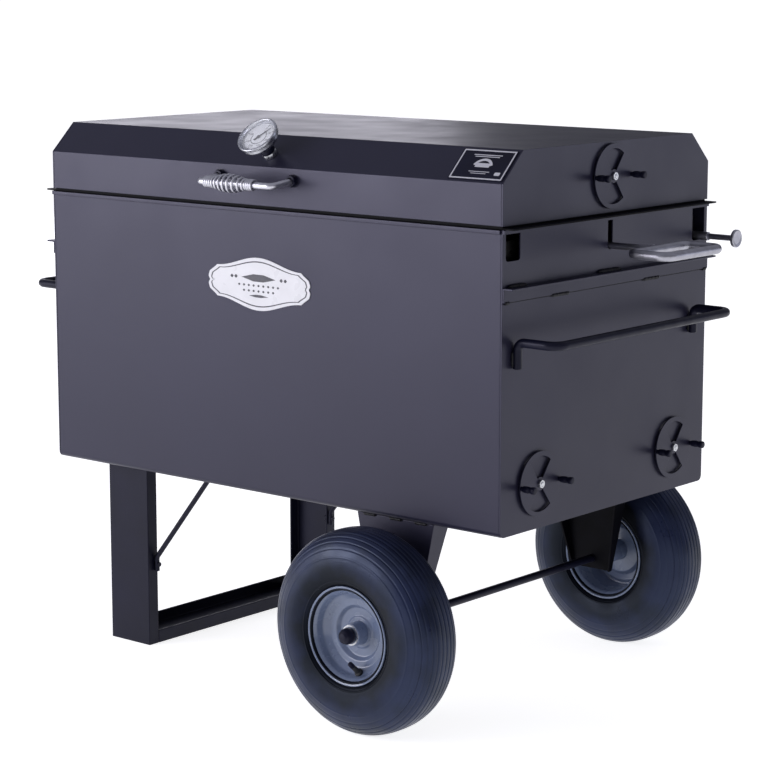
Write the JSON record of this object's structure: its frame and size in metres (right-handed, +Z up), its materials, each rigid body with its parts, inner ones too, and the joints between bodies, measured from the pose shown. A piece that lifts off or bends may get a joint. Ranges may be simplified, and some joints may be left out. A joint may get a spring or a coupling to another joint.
{
  "type": "charcoal box roaster with pivoting grate",
  "caption": "Charcoal roaster box on two wheels and a leg frame, with a hinged lid, turning grate, rotary air vents, pull handles and a dial gauge.",
  "frame": {"origin": "on the ground, below the centre of the whole object's box", "axes": "+X along the firebox towards the turning handle and the wheels, -Y the front with the lid grip, +Z up"},
  "size_m": [1.383, 0.898, 1.0626],
  "materials": {
    "charcoal_paint": "semi-gloss heat-resistant paint",
    "black_paint": "satin black paint",
    "stainless": "drawn stainless steel, lightly brushed",
    "raw_steel": "bare hot-rolled steel",
    "zinc": "zinc-plated fasteners",
    "white_enamel": "smooth white enamel",
    "glass": "clear flat glass",
    "tyre_rubber": "matt ribbed rubber",
    "rim_enamel": "smooth grey enamel"
  },
  "bodies": {
    "cooker_body": {"body_shell": "charcoal_paint", "end_wall_right": "charcoal_paint", "end_wall_left": "charcoal_paint", "end_rail_right": "charcoal_paint", "end_rail_left": "charcoal_paint", "bar_handle_right": "black_paint", "bar_handle_left": "black_paint", "charcoal_grate": "raw_steel", "front_plaque": "white_enamel", "hinge_leaf_body_right": "black_paint", "hinge_leaf_body_left": "black_paint", "front_leg": "black_paint", "rear_leg": "black_paint", "foot_channel": "black_paint", "leg_brace_front": "black_paint", "leg_brace_rear": "black_paint", "axle": "black_paint", "axle_cap_front": "black_paint", "axle_cap_rear": "black_paint", "axle_bracket_front": "black_paint", "axle_bracket_rear": "black_paint", "vent_bolt_right_front": "zinc", "vent_bolt_right_rear": "zinc", "vent_bolt_left_front": "zinc", "vent_bolt_left_rear": "zinc"},
    "lid": {"lid_shell": "charcoal_paint", "lid_end_right": "charcoal_paint", "lid_end_left": "charcoal_paint", "lid_rim": "charcoal_paint", "hinge_leaf_lid_right": "black_paint", "hinge_leaf_lid_left": "black_paint", "lid_handle_rod": "stainless", "lid_handle_nut_right": "black_paint", "lid_handle_nut_left": "black_paint", "grip_spring": "stainless", "gauge_stem": "black_paint", "gauge_case": "stainless", "gauge_dial": "white_enamel", "gauge_glass": "glass", "label_plate": "black_paint", "vent_bolt_right_lid": "zinc", "vent_bolt_left_lid": "zinc"},
    "gauge_needle": {"gauge_pointer": "black_paint"},
    "grate": {"grate_frame": "stainless", "lower_grate": "stainless", "pivot_shaft": "stainless", "lock_sleeve": "stainless", "flip_handle": "stainless"},
    "upper_grid": {"upper_grate": "stainless"},
    "lock": {"lock_rod": "stainless"},
    "wheel_front": {"tyre_front": "tyre_rubber", "rim_front": "rim_enamel"},
    "wheel_rear": {"tyre_rear": "tyre_rubber", "rim_rear": "rim_enamel"},
    "damper_right_front": {"vent_damper_right_front": "charcoal_paint"},
    "damper_right_rear": {"vent_damper_right_rear": "charcoal_paint"},
    "damper_right_lid": {"vent_damper_right_lid": "charcoal_paint"},
    "damper_left_front": {"vent_damper_left_front": "charcoal_paint"},
    "damper_left_rear": {"vent_damper_left_rear": "charcoal_paint"},
    "damper_left_lid": {"vent_damper_left_lid": "charcoal_paint"}
  },
  "joints": [
    {"name": "lid_hinge", "type": "hinge", "parent": "cooker_body", "child": "lid", "pos_m": [-0.0435, 0.322, 0.9013], "axis": [-1, 0, 0], "range_deg": [0, 95]},
    {"name": "gauge_reading", "type": "hinge", "parent": "lid", "child": "gauge_needle", "pos_m": [-0.0355, -0.29262, 0.99663], "axis": [0, 0.6941, -0.7198], "range_deg": [0, 240], "stiffness_Nm_per_rad": 0.01},
    {"name": "grate_pivot", "type": "hinge", "parent": "cooker_body", "child": "grate", "pos_m": [-0.0435, 0, 0.847], "axis": [1, 0, 0], "range_deg": [0, 8]},
    {"name": "upper_grid_lift", "type": "hinge", "parent": "grate", "child": "upper_grid", "pos_m": [-0.0435, 0.2932, 0.877], "axis": [-1, 0, 0], "range_deg": [0, 5.5]},
    {"name": "lock_pull", "type": "slide", "parent": "grate", "child": "lock", "axis": [1, 0, 0], "range_m": [0, 0.045]},
    {"name": "damper_right_front_turn", "type": "hinge", "parent": "cooker_body", "child": "damper_right_front", "pos_m": [0.5065, -0.208, 0.452], "axis": [1, 0, 0], "continuous": true},
    {"name": "damper_right_rear_turn", "type": "hinge", "parent": "cooker_body", "child": "damper_right_rear", "pos_m": [0.5065, 0.208, 0.452], "axis": [1, 0, 0], "continuous": true},
    {"name": "damper_right_lid_turn", "type": "hinge", "parent": "lid", "child": "damper_right_lid", "pos_m": [0.5065, 0, 0.9695], "axis": [1, 0, 0], "continuous": true},
    {"name": "damper_left_front_turn", "type": "hinge", "parent": "cooker_body", "child": "damper_left_front", "pos_m": [-0.5935, -0.208, 0.452], "axis": [-1, 0, 0], "continuous": true},
    {"name": "damper_left_rear_turn", "type": "hinge", "parent": "cooker_body", "child": "damper_left_rear", "pos_m": [-0.5935, 0.208, 0.452], "axis": [-1, 0, 0], "continuous": true},
    {"name": "damper_left_lid_turn", "type": "hinge", "parent": "lid", "child": "damper_left_lid", "pos_m": [-0.5935, 0, 0.9695], "axis": [-1, 0, 0], "continuous": true},
    {"name": "wheel_front_spin", "type": "hinge", "parent": "cooker_body", "child": "wheel_front", "pos_m": [0.2665, -0.387, 0.184], "axis": [0, 1, 0], "continuous": true},
    {"name": "wheel_rear_spin", "type": "hinge", "parent": "cooker_body", "child": "wheel_rear", "pos_m": [0.2665, 0.387, 0.184], "axis": [0, 1, 0], "continuous": true}
  ]
}
